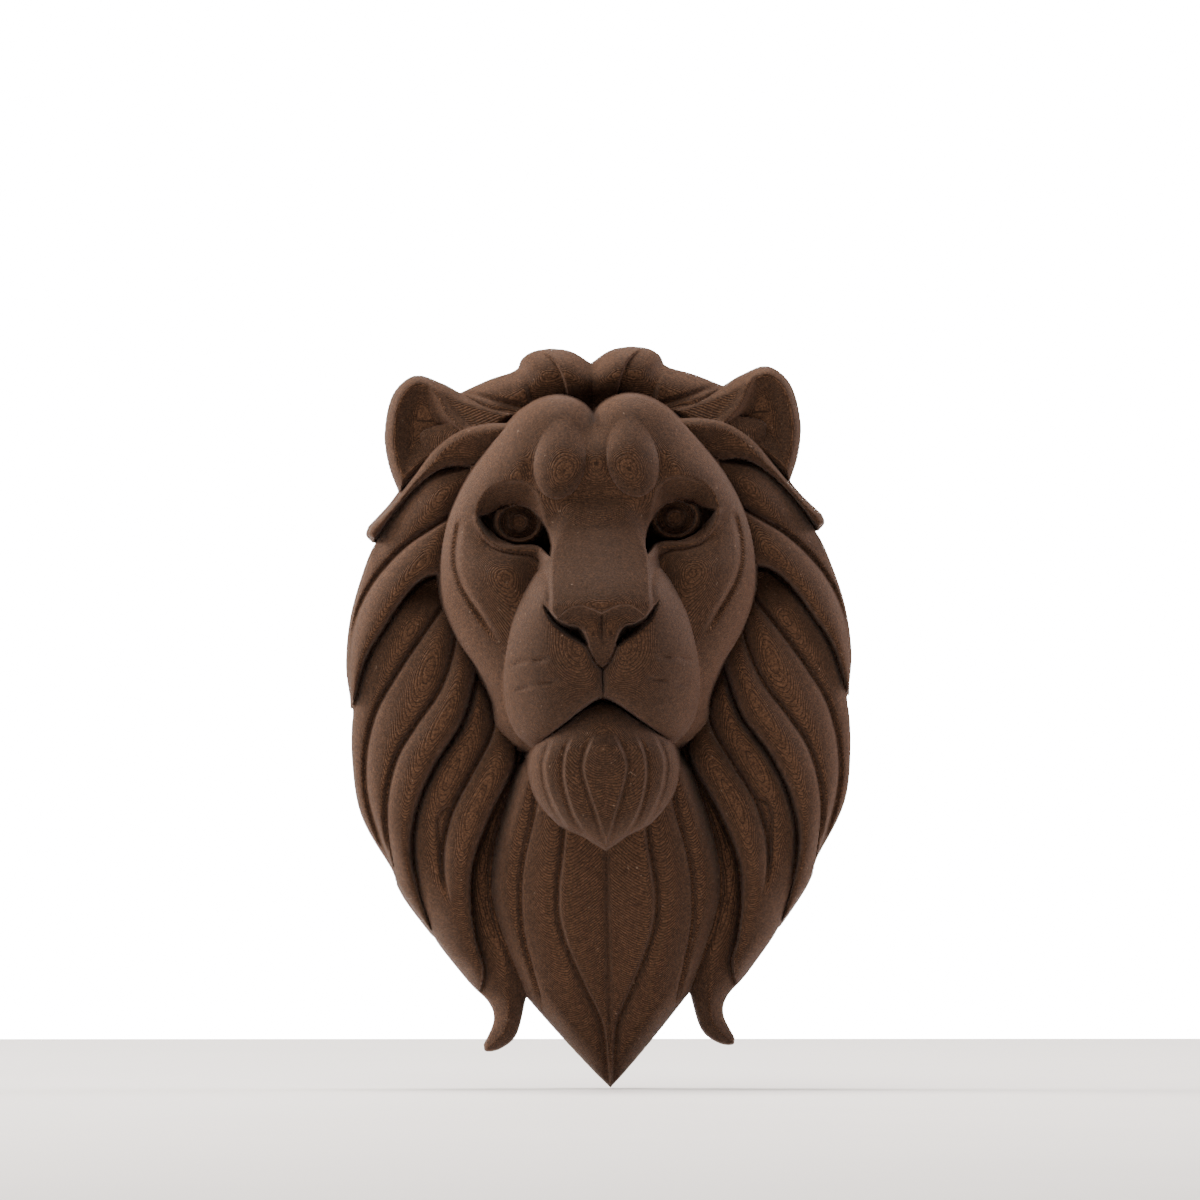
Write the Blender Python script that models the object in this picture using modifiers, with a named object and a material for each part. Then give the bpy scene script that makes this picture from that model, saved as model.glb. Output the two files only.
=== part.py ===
"""Lion head wall mask: one printed plaque, flat at the back (y = 0), carved in relief towards -Y.

Lengths are millimetres, turned into metres once, when the mesh is made. A place on the mask is (s, v):
s is the distance from the middle line, the same on both sides, and v is the height over the mask's centre.
"""

import bmesh
import bpy
import numpy as np

NAME = "lion_head_mask"
MM = 0.001

# Driving sizes
HALF_WIDTH = 70.0
TOP = 102.0
BOTTOM = -102.0
RIM = 5.0                 # thickness of the plaque where it meets the wall's plane
WALL_SLOPE = 8.0          # how steeply a form drops beside its outline
FOOT = RIM / WALL_SLOPE   # the outer outlines are those at the back plane, this far outside the rim
SKIN = 2.0                # stock behind the back plane, cut off at the end
GRID = 0.6                # spacing of the carved surface
VOXEL = 0.9               # grain of the solid
TRIANGLES = 9000

# Material
BROWN = (0.06, 0.03, 0.016, 1)
ROUGHNESS = 0.62

# Outlines: arcs between corners, as points (s, v). A half outline starts and ends on the middle line.
MANE_SIDE = (
    [(58.5, 53), (62.5, 44), (67, 30), (68.7, 16), (67.3, 4.5)],
    [(67.3, 4.5), (67.7, -9), (65.7, -24), (58, -39)],
    [(58, -39), (54.3, -47), (47, -57.5)],
    [(47, -57.5), (38, -70), (32.5, -76), (31.3, -81), (34.2, -87.5)],
    [(34.2, -87.5), (33.5, -89.3), (29.5, -88.6), (25, -84.7), (22.2, -74.7)],
    [(22.2, -74.7), (12, -66), (0, -66)],
)
MANE = ([(0, 80), (36, 75), (48, 67), (58.5, 53)],) + MANE_SIDE
WHOLE = ([(0, 108), (38, 104), (60, 82), (58.5, 53)],) + MANE_SIDE
BEARD = (
    [(0, -5), (20, -8), (27, -22), (31, -37), (31.6, -48), (28.5, -60), (22.2, -74.7)],
    [(22.2, -74.7), (14, -84.5), (5.4, -94.7), (0, -101)],
)
HAIR = (
    [(0, 97), (5, 100.2), (10, 101.2), (15.3, 100.7), (18.6, 98.8), (19.8, 96.2)],
    [(19.8, 96.2), (22, 95), (28, 93.2), (36, 89.8)],
    [(36, 89.8), (30, 78), (0, 72)],
)
EAR = (
    [(18, 84.3), (25, 86.3), (31, 88.2), (35.8, 89.9)],
    [(35.8, 89.9), (41, 92.8), (48, 94.9), (54, 90), (56.5, 80), (55.7, 71), (53, 63)],
    [(53, 63), (45, 70), (36, 75), (27, 78), (18, 84.3)],
)
EAR_FOLD = [(45.5, 96), (43.6, 92), (41.8, 88.5), (40, 84.6), (37.5, 81.6), (34, 78), (30, 72)]
EAR_FLAP = (
    [(34, 80.5), (38, 81.4), (43, 80.8), (46.3, 79.6), (46.8, 77.5), (45.6, 74), (42, 71), (36, 74),
     (34, 80.5)],
)
FLICK = (
    [(18, 81.5), (33, 80.7), (42, 76), (49.4, 67.4), (55.2, 60), (61.3, 54)],
    [(61.3, 54), (61.9, 52), (60.4, 50.3)],
    [(60.4, 50.3), (54, 58.6), (47, 65.6), (40, 69.6), (30, 70.4), (18, 81.5)],
)
FACE = (
    [(0, 80.7), (1.3, 83.3), (3.6, 85.6), (6.8, 87.1), (10, 87.5), (13.5, 86.9), (17, 85.3), (21, 82.4),
     (28, 75), (35.3, 65), (40, 55), (42.4, 44), (42, 33), (38, 22.5), (33, 14.5), (29.4, 6), (28.4, -1),
     (24, -6)],
    [(24, -6), (12, -12), (0, -14)],
)
MUZZLE_SIDE = [(12.6, 45), (18, 39), (22.5, 31), (25, 22), (26.3, 12), (25.6, 3), (23, -3), (18.7, -7)]
UPPER_LIP = [(18.7, -7), (16, -4.5), (10, 0.3), (5, 4.2), (2, 6.2), (0, 6.8)]
MUZZLE = ([(0, 40), (7, 44), (12.6, 45)], MUZZLE_SIDE, UPPER_LIP)
CHIN = (
    [(0, 5), (4, 3.7), (10, -0.6), (18, -6.2)],
    [(18, -6.2), (19.5, -10), (19.8, -14.5), (18, -20.7), (12.5, -27.5), (6, -30.8), (0, -34.8)],
)
NOSE_PAD = (
    [(0, 29.0), (2.4, 30.1), (5.2, 31.1), (8, 30.8), (10.2, 29.4), (12.2, 27.3)],
    [(12.2, 27.3), (9.2, 26.4), (6.4, 26), (4.9, 24.2), (3.8, 21), (2.6, 18), (1.2, 15.6), (0, 14.8)],
)
NOSTRIL = (
    [(15.6, 32), (14.1, 30.6), (12.8, 29.0), (11.4, 27.4), (9.0, 26.4), (6.4, 26), (4.9, 24.2), (3.6, 21)],
    [(3.6, 21), (4.6, 20.2), (7.2, 21.8), (10.3, 23.9), (13.4, 26.7), (14.9, 29.3), (15.6, 32)],
)
BROW_ARC = [
    (33.4, 56), (32.2, 60.5), (28.5, 64.5), (22, 66.2), (17.4, 64.6), (14.8, 60), (13.4, 53), (12.9, 46),
]
EYE_OPENING = (
    [(32, 56), (27, 57.6), (22, 58.8), (18.4, 58), (15.6, 55.2), (13.6, 51.5), (12.8, 47.6), (13.2, 44.8)],
    [(13.2, 44.8), (15.4, 47.2), (18, 48.1), (22.5, 48.1), (27, 50.2), (30, 53.2), (32, 56)],
)
SOCKET = (BROW_ARC, [(12.9, 46), (16, 45.4), (22, 46), (28, 48.4), (32, 53), (33.4, 56)])
EYEBALL = (21.2, 54.3)
EYEBALL_RADII = (6.8, 6.1)

# Edges between the mane's locks, from the face outwards, and of the beard and chin locks, from the top down
LOCK_EDGES = (
    [(24, 74), (36, 70), (45, 67.3), (53, 60), (60.6, 50)],
    [(36, 58), (44, 53.3), (52, 48), (60, 39.5), (65, 30), (67.6, 18), (68, 0)],
    [(38, 41), (46, 40.5), (52, 35.8), (59, 26), (64, 17.5), (68, 3)],
    [(40, 34), (48, 23.5), (56, 12), (61, 3), (63.7, -9), (63, -22), (57, -41)],
    [(38.5, 27), (39.6, 19), (43.5, 9), (50, 0), (56, -10), (58.8, -24), (57, -41)],
    [(33.5, 17), (35, 10), (38.5, 0), (46, -11), (51.5, -24), (52.5, -38), (46.5, -59)],
    [(28, 42), (34, 30), (33.3, 15), (29, 5), (29.5, -3), (34.5, -12.5), (41, -24.5), (43.7, -38), (41, -54)],
    [(24, -2), (24, -11), (31, -24.5), (36, -37), (37.2, -48), (36, -59), (34, -67), (35.5, -74), (40, -80)],
)
LOCKS = (                 # lift over the mane's body, height of the crown
    (-0.5, 3.0),
    (2.2, 3.4),
    (-2.0, 3.2),
    (0.2, 3.2),
    (1.8, 3.4),
    (-1.0, 3.0),
    (1.6, 3.0),
    (-8.5, 1.2),
)
LOCK_GROOVES = (          # depth on the lower lock's side of each edge: past the edge if positive
    1.6, -1.4, 3.0, -1.2, -1.2, 3.0, -1.2, 1.5,
)
BEARD_EDGES = (
    [(17, -14), (18.6, -24), (22, -38), (22.9, -48), (22.3, -58), (20, -68), (18.3, -76), (19, -85)],
    [(10, -22), (11.2, -34), (12.9, -48), (11.6, -58), (7, -70), (2.5, -80), (1.2, -86), (0.4, -98)],
)
BEARD_LOCKS = (
    (-1.5, 2.6),
    (0.0, 2.2),
    (2.2, 0.8),
)
CHIN_EDGES = (
    [(13.5, -4), (15.8, -10), (16, -14), (15, -19), (13, -24), (10.5, -28.5)],
    [(8, -3), (10.5, -9), (11, -14.5), (10.2, -19.5), (8.5, -25), (5.6, -30.3)],
    [(2.5, -3.5), (5, -9), (5.7, -13), (4.6, -18), (2.9, -23.5), (1.2, -29), (0.1, -33)],
)
CHEEK_FOLD = [(37, 56), (38.6, 46), (37.3, 38), (32.5, 29.5), (27, 21)]
LOWER_LID = [(32.6, 55.4), (31.4, 52), (29.2, 49.2), (25.5, 47.3), (20, 46.9), (16.6, 46.2), (14.3, 44)]
HAIR_PARTING = [(6.6, 87), (7.6, 92), (9.6, 97), (14, 101)]
HAIR_FOLD = [(16.6, 86), (18, 91), (21, 97)]


def curve(points, steps=6):
    """A smooth curve through a few points, as a fine line."""
    p = np.array(points, float)
    p = np.vstack([2 * p[0] - p[1], p, 2 * p[-1] - p[-2]])
    t = np.linspace(0, 1, steps, endpoint=False)[:, None]
    spans = [
        b + 0.5 * ((c - a) * t + (2 * a - 5 * b + 4 * c - d) * t**2 + (3 * b - a - 3 * c + d) * t**3)
        for a, b, c, d in zip(p[:-3], p[1:-2], p[2:-1], p[3:])
    ]
    return np.vstack(spans + [p[-2:-1]])


def joined(arcs):
    """Smooth arcs joined at sharp corners."""
    return np.vstack([curve(arc) for arc in arcs])


def beside(line, s, v):
    """Distance from a line, positive on the right of its direction, and the share of it passed there."""
    nearest = np.full(s.shape, np.inf)
    side = np.zeros(s.shape)
    share = np.zeros(s.shape)
    runs = np.diff(line, axis=0)
    lengths = np.hypot(*runs.T)
    passed = np.concatenate([[0], np.cumsum(lengths)])
    for (x, y), (dx, dy), length, start in zip(line, runs, lengths, passed):
        px = s - x
        py = v - y
        t = np.clip((px * dx + py * dy) / (length**2 + 1e-12), 0, 1)
        squared = (px - t * dx) ** 2 + (py - t * dy) ** 2
        near = squared < nearest
        nearest[near] = squared[near]
        side[near] = (dy * px - dx * py)[near]
        share[near] = (start + t * length)[near] / passed[-1]
    return np.sqrt(nearest) * np.where(side >= 0, 1, -1), share


def within(arcs, s, v):
    """Distance in from an outline, negative outside it."""
    line = joined(arcs)
    odd = np.zeros(s.shape, bool)
    for (ax, ay), (bx, by) in zip(line, np.roll(line, -1, axis=0)):
        if ay != by:
            odd ^= ((ay > v) != (by > v)) & (s < (bx - ax) * (v - ay) / (by - ay) + ax)
    return np.abs(beside(line, s, v)[0]) * np.where(odd, 1, -1)


def step(start, end, x):
    """0 before start, 1 after end, smooth between them."""
    t = np.clip((x - start) / (end - start), 0, 1)
    return t * t * (3 - 2 * t)


def higher(a, b, blend):
    """The higher of two surfaces, with a soft join."""
    t = np.clip(0.5 + 0.5 * (a - b) / blend, 0, 1)
    return b + (a - b) * t + blend * t * (1 - t)


def rounded(d, radius):
    """0 at an edge, 1 from radius inwards, like a quarter circle."""
    return np.sqrt(1 - (1 - np.clip(d / radius, 0, 1)) ** 2)


def crown(a, b, half_width=9.0):
    """Round cross-section of a lock, from the distances to its two edges."""
    a = np.clip(a, 0, half_width) + 0.01
    b = np.clip(b, 0, half_width) + 0.01
    return np.sqrt(1 - ((a - b) / (a + b)) ** 2)


def hill(s, v, centre, radii):
    """A soft round hill, 1 at its centre."""
    return np.exp(-((s - centre[0]) / radii[0]) ** 2 - ((v - centre[1]) / radii[1]) ** 2)


def dome(s, v, centre, radii):
    """The upper half of an ellipsoid of height 1."""
    return np.sqrt(np.maximum(1 - ((s - centre[0]) / radii[0]) ** 2 - ((v - centre[1]) / radii[1]) ** 2, 0))


def profile(x, knots):
    """A smooth curve through a few heights (place, height)."""
    places, heights = np.array(knots, float).T
    slopes = np.gradient(heights, places)
    x = np.clip(x, places[0], places[-1])
    i = np.clip(np.searchsorted(places, x) - 1, 0, len(places) - 2)
    span = places[i + 1] - places[i]
    t = (x - places[i]) / span
    start = (2 * t**3 - 3 * t**2 + 1) * heights[i] + (t**3 - 2 * t**2 + t) * span * slopes[i]
    return start + (3 * t**2 - 2 * t**3) * heights[i + 1] + (t**3 - t**2) * span * slopes[i + 1]


def wall(height, d):
    """A form that drops steeply outside its outline."""
    return height + WALL_SLOPE * np.minimum(d, 0)


def groove(gap, width):
    """1 in the middle of a line, 0 beside it."""
    return np.exp(-((gap / width) ** 2))


def mix(a, b, share):
    return a + (b - a) * share


def strips(body, gaps, locks, side=0.3):
    """Locks side by side, each with its lift and crown. The gaps are the distances past each lock edge."""
    height = None
    for k, (lift, rise) in enumerate(locks):
        lock = body + lift + rise * crown(gaps[k], -gaps[k + 1])
        height = lock if height is None else mix(height, lock, step(-side, side, gaps[k]))
    return height


def mane(s, v, face_edge):
    """The mane's body and its eight locks on each side."""
    d = within(MANE, s, v) - FOOT
    taper = step(-100, -45, v)
    body = RIM + 1.0 + (3.0 + 12.0 * taper) * rounded(within(WHOLE, s, v), 26.0)
    body -= 3.5 * np.exp(-np.maximum(-face_edge, 0) / 4.0)
    gaps = [beside(curve(edge), s, v)[0] for edge in LOCK_EDGES] + [within(BEARD, s, v)]
    height = strips(body, gaps, LOCKS)
    for gap, depth in zip(gaps, LOCK_GROOVES):
        height -= abs(depth) * groove(gap - 0.7 * np.sign(depth), 0.6)
    # the first lock sinks under the flick
    height -= 4.0 * np.exp(-np.maximum(gaps[0], 0) / 3.0) + 4.0 * step(0.5, -1.0, gaps[0])
    # the third lock overhangs the fourth beside the face
    height -= 6.0 * step(-0.3, 0.3, gaps[2]) * hill(s, v, (45, 38), (8, 6))
    # the gap behind the sixth lock is deepest beside the cheek
    height -= 2.0 * groove(gaps[5] - 0.7, 1.0) * step(18, 12, v)
    # the seventh and eighth lock run together towards the foot
    together = body + 0.5 + 3.2 * crown(gaps[5], -gaps[7])
    between = step(-0.3, 0.3, gaps[5]) * step(0.3, -0.3, gaps[7])
    height = mix(height, together, between * step(-34, -50, v))
    # the last lock lies deep between its neighbours, and comes up to a free curl at the foot
    rise = profile(v, [(-90, 7.5), (-74, 7.0), (-62, 4.5), (-48, 1.0), (-35, 0)])
    height += rise * step(-0.3, 0.3, gaps[7])
    height = mix(height, RIM + (height - RIM) * rounded(d + 0.4, 4.5), step(-58, -72, v))
    return wall(height, d)


def beard(s, v):
    """The beard: three locks on each side of a groove, sloping down to the tip."""
    d = within(BEARD, s, v) - FOOT
    ridge = profile(v, [(-102, 7), (-92, 11), (-78, 16.5), (-60, 22.5), (-36, 28.5), (0, 33)])
    gaps = [d] + [beside(curve(edge), s, v)[0] for edge in BEARD_EDGES] + [s * 0 - 2.5]
    height = strips(ridge - 6.0 * (s / 30) ** 2, gaps, BEARD_LOCKS, 0.4)
    for gap in gaps[1:3]:
        height -= 0.6 * groove(gap + 0.8, 0.5)
    height -= 0.22 * np.maximum(11 - s, 0) * step(-95, -75, v) + 0.7 * groove(s, 0.6)
    height = RIM + (height - RIM) * rounded(d + 0.5, 5.0)
    return wall(height, d)


def hair(s, v):
    """The tufts over the forehead."""
    d = within(HAIR, s, v) - FOOT
    height = 20.0 - 0.12 * s - 4.0 * hill(s, v, (0, 86), (18, 5)) - 3.0 * hill(s, v, (0, 83), (6, 5))
    parting, _ = beside(curve(HAIR_PARTING), s, v)
    height -= 2.2 * step(-0.3, 0.3, parting) * np.exp(-np.maximum(parting, 0) / 7.0)
    fold, _ = beside(curve(HAIR_FOLD), s, v)
    height -= 1.6 * step(1.0, -1.0, fold) * np.exp(-np.maximum(-fold, 0) / 9.0)
    height -= 1.8 * np.exp(-s / 1.5)
    height -= 1.2 * groove(within(EAR, s, v) + 0.8, 0.8)
    height = RIM + (height - RIM) * rounded(d + 0.5, 8.0)
    return wall(height, d)


def ear(s, v):
    """The ear: a flat front that runs in from the hair, folded down into the bowl, with a thin outer rim."""
    d = within(EAR, s, v) - FOOT
    fold, _ = beside(curve(EAR_FOLD), s, v)
    front = 18.0 - 0.10 * (s - 18) - 0.24 * (v - 85) + 1.4 * groove(fold, 1.6)
    front = mix(front, 15.0 - 0.03 * (v - 85), step(0.5, -2.5, fold))
    height = RIM + (front - RIM) * rounded(d + 0.5, 3.0)
    height -= 3.4 * np.minimum(step(0.5, 8.0, d), step(0, 4.0, -fold))
    inner = within(EAR_FLAP, s, v)
    flap = 14.0 + 2.0 * rounded(inner + 0.3, 4.0) - 0.3 * (s - 42)
    return np.maximum(wall(height, d), wall(flap, inner))


def flick(s, v):
    """The lock that sweeps over the ear's foot and ends in a free tip, high along its upper edge."""
    d = within(FLICK, s, v) - FOOT
    upper, _ = beside(curve(FLICK[0]), s, v)
    height = 23.5 - 0.17 * np.maximum(s - 26, 0) - 0.006 * np.maximum(s - 44, 0) ** 2
    height -= 0.30 * np.clip(upper - 2.0, 0, 9) - 1.5 * hill(s, v, (27, 79), (6, 4))
    height = height - 4.0 * (1 - rounded(d + 0.5, 3.0))
    return wall(height, d)


def head(s, v, face_edge):
    """The face without its features: a dome with a rounded rim, two lobes above and a fold in each cheek."""
    height = 12.0 + 33.0 * dome(s, v, (0, 42), (58, 66))
    height += 1.8 * hill(s, v, (12, 80), (12, 10)) - 3.6 * np.exp(-s / 2.6) * step(73, 85, v)
    height += 2.0 * hill(s, v, (29, 41), (8, 9)) - 3.5 * hill(s, v, (16, 39), (5, 10))
    height -= 5.0 * hill(s, v, (22, 51), (11, 6.5))
    low = step(84, 72, v)
    height -= (6.0 + 4.0 * low) * (1 - rounded(face_edge, 8.0 + 2.0 * low))
    fold, share = beside(curve(CHEEK_FOLD), s, v)
    height -= 1.7 * groove(fold, 0.9) * step(0, 0.08, share) * step(1, 0.7, share)
    return height


def brows(s, v, height):
    """Two knobs on the forehead that rise out of its lobes, and a small swelling between them."""
    height = height - 1.8 * hill(s, v, (0, 60.5), (7, 3)) - 1.2 * hill(s, v, (17.8, 67), (2.2, 5.5))
    height += 1.5 * hill(s, v, (27, 68.5), (9, 5)) + 2.2 * hill(s, v, (0, 71), (5, 6))
    across = s - 9.9 + 0.10 * (v - 69.6)
    above = np.where(v > 69.6, 12.5, 9.4)
    away = np.maximum(1 - (across / 7.0) ** 2 - ((v - 69.6) / above) ** 2, 0)
    return height + 4.2 * away ** (0.5 + 1.0 * step(70, 81, v))


def nose(s, v, height):
    """The bridge, round-shouldered above and sharp-sided below, down to the nostrils and the leather."""
    back = profile(v, [(14, 54), (27, 61.2), (30, 62.4), (31.7, 62.6), (33.5, 61.9), (36, 60.2), (42, 55),
                       (50, 48.2), (54, 45.2), (57, 43.2), (60, 41.2), (63, 37.5), (70, 26)])
    flat = profile(v, [(14, 12), (31, 12.9), (34, 12.8), (40, 12.6), (45, 12), (50, 9.8), (56, 6.5), (62, 4)])
    steep = profile(v, [(14, 4), (38, 4), (44, 3.0), (50, 1.7), (56, 1.1), (62, 0.9)])
    soft = profile(v, [(14, 0.8), (38, 0.8), (44, 1.4), (52, 4), (62, 6)])
    side = np.hypot(np.maximum(s - flat, 0), soft) - soft
    bridge = back - steep * side - 0.018 * s**2
    leather = within(NOSE_PAD, s, v)
    front = profile(v, [(12, 57.4), (15, 58.4), (20, 59.2), (24, 59.2), (27, 59.2), (31.5, 61.6)])
    front -= 0.014 * s**2 + 1.4 * np.exp(-s / 0.7) + 0.8 * (1 - rounded(leather, 1.2)) * step(29, 26, v)
    bridge = mix(bridge, np.minimum(front, bridge), step(-0.25, 0.25, leather))
    above = v - profile(s, [(0, 14), (3, 19), (5, 24), (9, 26.2), (12, 28), (15.6, 32), (22, 38)])
    return higher(height, wall(bridge, above), 0.6 + 3.4 * step(44, 56, v))


def muzzle(s, v, height):
    """The whisker pads, each round in front and steep at the side."""
    outline = within(MUZZLE, s, v)
    side, _ = beside(curve(MUZZLE_SIDE), s, v)
    lip, _ = beside(curve(UPPER_LIP), s, v)
    pad = 57.0 - 0.021 * (s - 5.5) ** 2 - 0.018 * (v - 20) ** 2 - 1.0 * hill(s, v, (1, 17), (2.6, 5))
    pad -= 8.5 * (1 - rounded(side, 12.0)) + 1.6 * (1 - rounded(lip, 3.0))
    pad += 5.0 * hill(s, v, (14.5, 36.5), (4.5, 8)) - 2.4 * np.exp(-s / 0.6) * step(26, 14, v)
    return np.where(outline > -4, higher(height, wall(pad, outline), 0.8), height)


def eye(s, v, height):
    """A deep socket under the overhanging brow, the lids and the ball with its hollow iris."""
    brow, _ = beside(curve(BROW_ARC), s, v)
    under_brow = np.clip(-1.35 * brow, 0, 9.0)
    height = height - under_brow * step(47.5, 54, v) * step(0, 1.5, within(SOCKET, s, v))
    lid, _ = beside(curve(LOWER_LID), s, v)
    height = height + 1.1 * groove(lid, 1.0)
    opening = within(EYE_OPENING, s, v)
    away = np.hypot((s - EYEBALL[0]) / EYEBALL_RADII[0], (v - EYEBALL[1]) / EYEBALL_RADII[1])
    ball = 34.2 - 2.2 * away**2 - 3.5 * step(0.97, 1.08, away) + 0.7 * groove(away - 0.88, 0.08)
    ball -= 2.6 * step(0.80, 0.70, away)
    return mix(height, ball, step(-0.25, 0.25, opening))


def chin(s, v):
    """The chin tuft: petals over each other around a drop, ending in a point."""
    d = within(CHIN, s, v)
    height = 32.0 + 17.0 * dome(s, v, (0, -9), (25, 29)) - 5.0 * (1 - rounded(d, 6.0))
    for edge in CHIN_EDGES:
        petal, _ = beside(curve(edge), s, v)
        fade = step(-3, -8, v)
        height = height + 1.1 * fade * step(-0.4, 0.4, petal) * np.exp(-np.maximum(petal, 0) / 12.0)
        height -= 0.5 * fade * groove(petal + 0.8, 0.5)
    height += 1.6 * hill(s, v, (0, -9), (4.5, 7)) + 3.0 * hill(s, v, (0, 3), (13, 6))
    return wall(height, d)


def relief(s, v):
    """Height of the carved front over the back plane; below zero outside the mask."""
    face_edge = within(FACE, s, v)
    ground = mane(s, v, face_edge)
    for form in (beard(s, v), hair(s, v), ear(s, v), flick(s, v)):
        ground = np.maximum(ground, form)
    face = head(s, v, face_edge)
    face = brows(s, v, face)
    face = muzzle(s, v, face)
    face = nose(s, v, face)
    face = face - 9.0 * step(-0.3, 1.8, within(NOSTRIL, s, v))
    face = eye(s, v, face)
    face = np.maximum(wall(face, face_edge), chin(s, v))
    return np.maximum(ground, face)


def carved_block():
    """A block with the relief on its front and SKIN behind the back plane, as a mesh."""
    columns = int(2 * HALF_WIDTH / GRID)
    rows = int((TOP - BOTTOM) / GRID)
    body = bmesh.new()
    bmesh.ops.create_grid(body, x_segments=columns, y_segments=rows, size=1.0)
    x, y, _ = np.array([vertex.co for vertex in body.verts]).T
    x = x * HALF_WIDTH
    z = (TOP + BOTTOM) / 2 + y * (TOP - BOTTOM) / 2
    depth = np.maximum(relief(np.abs(x), z), -SKIN / 2)
    for vertex, place in zip(body.verts, np.stack([x, -depth, z], axis=1) * MM):
        vertex.co = place
    rim = [edge for edge in body.edges if edge.is_boundary]
    walls = bmesh.ops.extrude_edge_only(body, edges=rim)["geom"]
    for vertex in walls:
        if isinstance(vertex, bmesh.types.BMVert):
            vertex.co.y = SKIN * MM
    bmesh.ops.holes_fill(body, edges=[edge for edge in body.edges if edge.is_boundary])
    bmesh.ops.recalc_face_normals(body, faces=body.faces)
    mesh = bpy.data.meshes.new(NAME)
    body.to_mesh(mesh)
    body.free()
    return mesh


def brown_plastic():
    material = bpy.data.materials.new("brown_plastic")
    material.use_nodes = True
    shader = material.node_tree.nodes["Principled BSDF"]
    shader.inputs["Base Color"].default_value = BROWN
    shader.inputs["Roughness"].default_value = ROUGHNESS
    shader.inputs["Metallic"].default_value = 0.0
    return material


def evaluated(mask):
    """The mask's mesh with its modifiers applied, and the modifiers removed."""
    bpy.context.view_layer.update()
    graph = bpy.context.evaluated_depsgraph_get()
    mesh = bpy.data.meshes.new_from_object(mask.evaluated_get(graph))
    mask.modifiers.clear()
    mask.data = mesh


def cut_flat(mask):
    """Cuts the stock off at the back plane and closes the back."""
    body = bmesh.new()
    body.from_mesh(mask.data)
    everything = body.verts[:] + body.edges[:] + body.faces[:]
    bmesh.ops.bisect_plane(body, geom=everything, plane_co=(0, 0, 0), plane_no=(0, 1, 0), clear_outer=True)
    bmesh.ops.holes_fill(body, edges=[edge for edge in body.edges if edge.is_boundary])
    bmesh.ops.triangulate(body, faces=body.faces)
    bmesh.ops.recalc_face_normals(body, faces=body.faces)
    body.to_mesh(mask.data)
    body.free()


def main():
    for old in list(bpy.data.objects):
        bpy.data.objects.remove(old, do_unlink=True)
    collection = bpy.data.collections.new("lion_head_wall_mask")
    bpy.context.scene.collection.children.link(collection)

    mask = bpy.data.objects.new(NAME, carved_block())
    collection.objects.link(mask)
    remesh = mask.modifiers.new("one_skin", "REMESH")
    remesh.mode = "VOXEL"
    remesh.voxel_size = VOXEL * MM
    evaluated(mask)

    mask.data.calc_loop_triangles()
    decimate = mask.modifiers.new("fewer_faces", "DECIMATE")
    decimate.ratio = TRIANGLES / len(mask.data.loop_triangles)
    evaluated(mask)
    cut_flat(mask)

    mask.data.materials.append(brown_plastic())
    mask.data.shade_smooth()
    mask.data.set_sharp_from_angle(angle=np.radians(40))


main()
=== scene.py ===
"""The looks of the lion head wall mask: its carved face in full detail, the printed plastic and the studio.

Lengths in the relief are millimetres, turned into metres once, when the mesh is made. A place on the mask is
(s, v): s is the distance from the middle line, the same on both sides, and v is the height over its centre.
"""

import bmesh
import bpy
import numpy as np
from mathutils import Matrix, Vector


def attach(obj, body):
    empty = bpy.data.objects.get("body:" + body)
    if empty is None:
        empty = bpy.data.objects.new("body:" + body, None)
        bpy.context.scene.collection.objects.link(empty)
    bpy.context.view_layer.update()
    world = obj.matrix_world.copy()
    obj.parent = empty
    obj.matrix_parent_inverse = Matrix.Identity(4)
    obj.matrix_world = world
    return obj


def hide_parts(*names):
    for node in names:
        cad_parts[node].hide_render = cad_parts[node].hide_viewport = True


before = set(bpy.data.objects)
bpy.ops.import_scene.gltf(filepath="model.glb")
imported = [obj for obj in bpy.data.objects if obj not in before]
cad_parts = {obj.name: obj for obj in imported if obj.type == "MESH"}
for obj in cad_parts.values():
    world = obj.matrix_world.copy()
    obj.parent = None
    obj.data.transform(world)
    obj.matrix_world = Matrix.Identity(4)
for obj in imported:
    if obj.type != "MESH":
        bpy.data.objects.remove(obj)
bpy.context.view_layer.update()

NODE = "lion_head_mask"
MM = 0.001

# The block that the relief is cut from
HALF_WIDTH = 70.0
TOP = 101.5
BOTTOM = -101.5
RIM = 5.0                 # thickness of the plaque where it meets the wall's plane
WALL_SLOPE = 12.0         # how steeply a form drops beside its outline
FOOT = RIM / WALL_SLOPE   # the outer outlines are those at the back plane, this far outside the rim
GRID = 0.28               # spacing of the carved surface
CUT = -2.0                # the carved surface ends this far behind the back plane
TRIANGLES = 188000
SHARP = 55                # degrees between two faces from which their edge is drawn sharp

# The main forms: centres as (s, v), radii across and up, tops and feet over the back plane
FACE_CENTRE = (0, 42)
FACE_RADII = (58, 66)
FACE_FOOT = 12.0
FACE_RISE = 33.0
KNOB = (9.9, 69.6)
KNOB_RISE = 4.2
MUZZLE_TOP = 57.0
NOSE_TOP = 62.6
NOSTRIL_DEPTH = 9.0
EYEBALL = (21.2, 54.3)
EYEBALL_RADII = (6.8, 6.1)
EYEBALL_TOP = 34.2
CHIN_CENTRE = (0, -9)
CHIN_RADII = (25, 29)
CHIN_FOOT = 32.0
CHIN_RISE = 17.0
FLICK_TOP = 23.5
HAIR_TOP = 20.0
EAR_TOP = 18.0
EAR_BACK = 15.0

# The print
LAYER = 0.2               # height of one printed layer
LINE = 0.45               # width of one printed line on the back
SLANT = 1.414             # the lines run at 45 degrees, so x + z grows by this much across a unit
LINE_DEPTH = 0.04
ROUGH = 0.12              # depth of the plastic's fine roughness

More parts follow.
